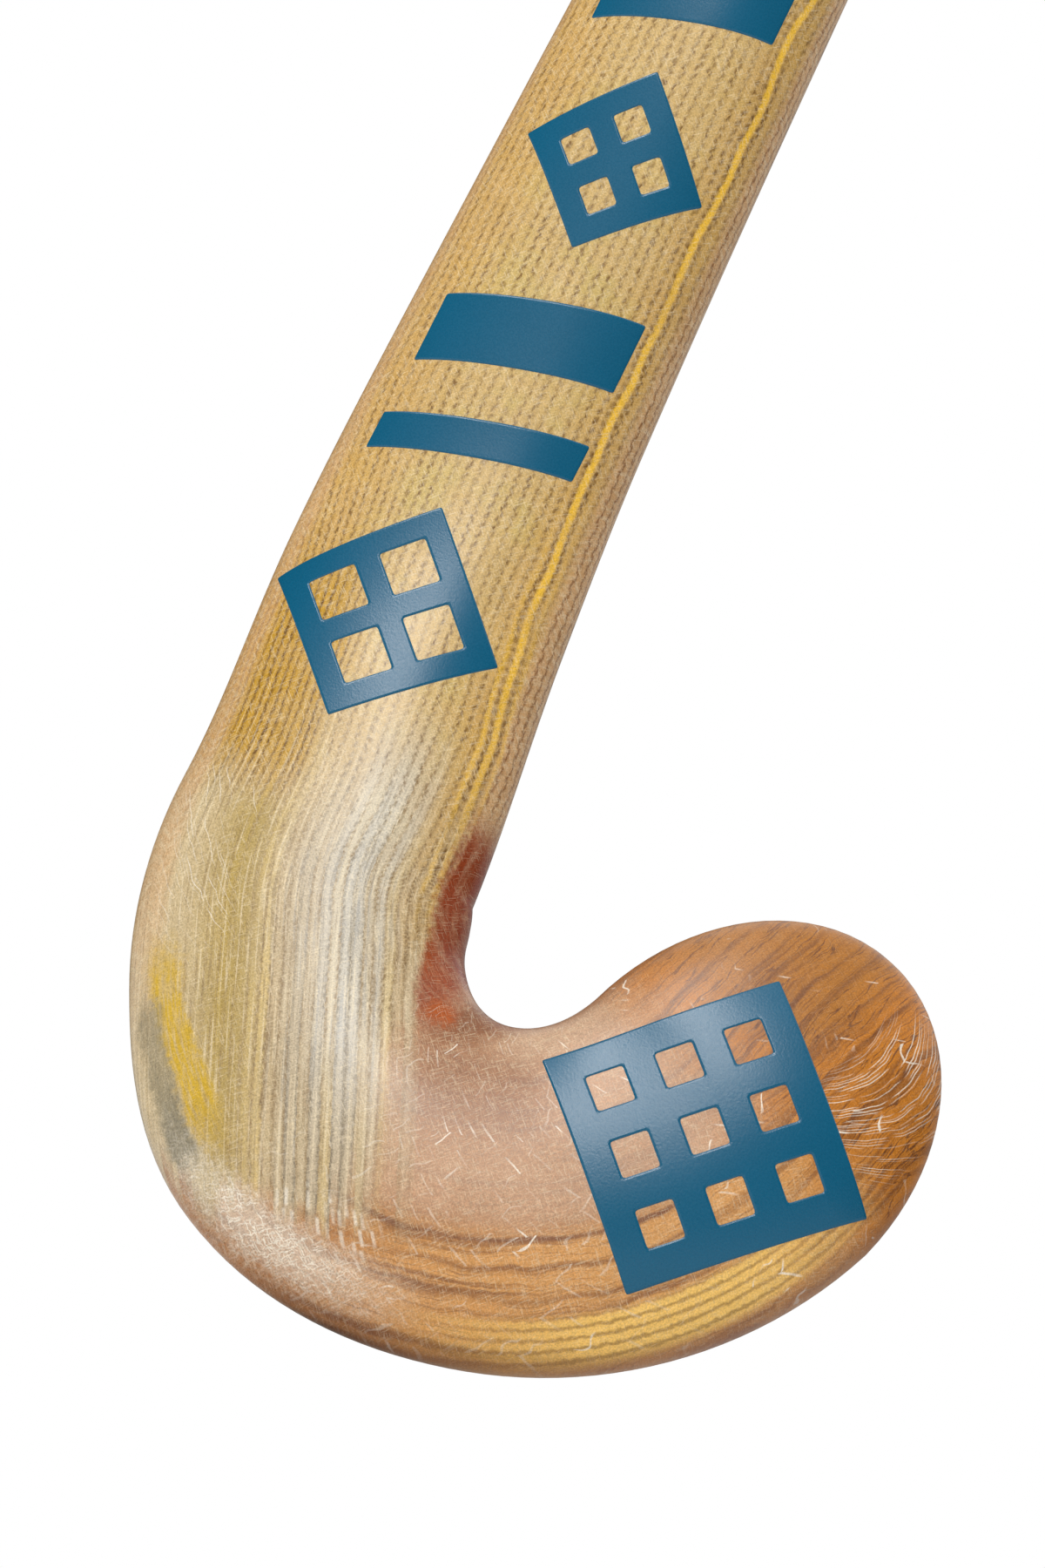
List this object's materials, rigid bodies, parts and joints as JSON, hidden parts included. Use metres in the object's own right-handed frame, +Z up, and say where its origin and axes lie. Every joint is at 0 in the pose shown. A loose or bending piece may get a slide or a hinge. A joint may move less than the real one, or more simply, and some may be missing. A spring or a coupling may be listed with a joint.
{
  "type": "indoor hockey stick",
  "caption": "Slim bent-wood indoor hockey stick with a flat playing side, a rounded back, a tight hook, a bowed shaft and a wrapped handle.",
  "frame": {"origin": "on the handle's axis at the middle of the upper hand's hold, 107 mm below the top of the end cap", "axes": "+Z up the handle towards the end cap, +X from the shaft towards the toe, +Y out of the flat playing face; the rounded back looks along -Y"},
  "size_m": [0.1208, 0.053, 0.927],
  "materials": {
    "glass_resin": "clear resin over wood and glass fibre, satin gloss",
    "glass_tape": "stitched glass tape set in resin",
    "aramid": "yellow aramid fibre set in resin",
    "mulberry": "bent strips, planed",
    "willow": "planed",
    "rubber": "matt",
    "transfer_film": "satin film under the top coat",
    "grip": "perforated soft grip tape",
    "underlay": "cushion tape"
  },
  "bodies": {
    "root": {"glass_sleeve": "glass_resin", "glass_tape_back": "glass_tape", "glass_tape_face": "glass_tape", "aramid_strand_throat_edge": "aramid", "aramid_strand_heel_edge": "aramid", "aramid_heel_patch": "aramid", "aramid_sole_strip": "aramid", "core_lamination_1": "mulberry", "core_lamination_2": "mulberry", "core_lamination_3": "mulberry", "core_lamination_4": "mulberry", "core_lamination_5": "mulberry", "core_lamination_6": "mulberry", "core_lamination_7": "mulberry", "handle_cheek_back": "willow", "handle_cheek_face": "willow", "damping_strip_back": "rubber", "damping_strip_face": "rubber", "transfer_bar_1": "transfer_film", "transfer_bar_2": "transfer_film", "transfer_bar_3": "transfer_film", "transfer_bar_4": "transfer_film", "transfer_bar_5": "transfer_film", "transfer_bar_6": "transfer_film", "transfer_bar_7": "transfer_film", "transfer_bar_8": "transfer_film", "transfer_net_shaft": "transfer_film", "transfer_net_heel": "transfer_film", "transfer_net_toe": "transfer_film", "grip_underlay": "underlay", "grip_wrap": "grip", "grip_finishing_tape": "transfer_film", "end_cap": "rubber"}
  },
  "joints": []
}
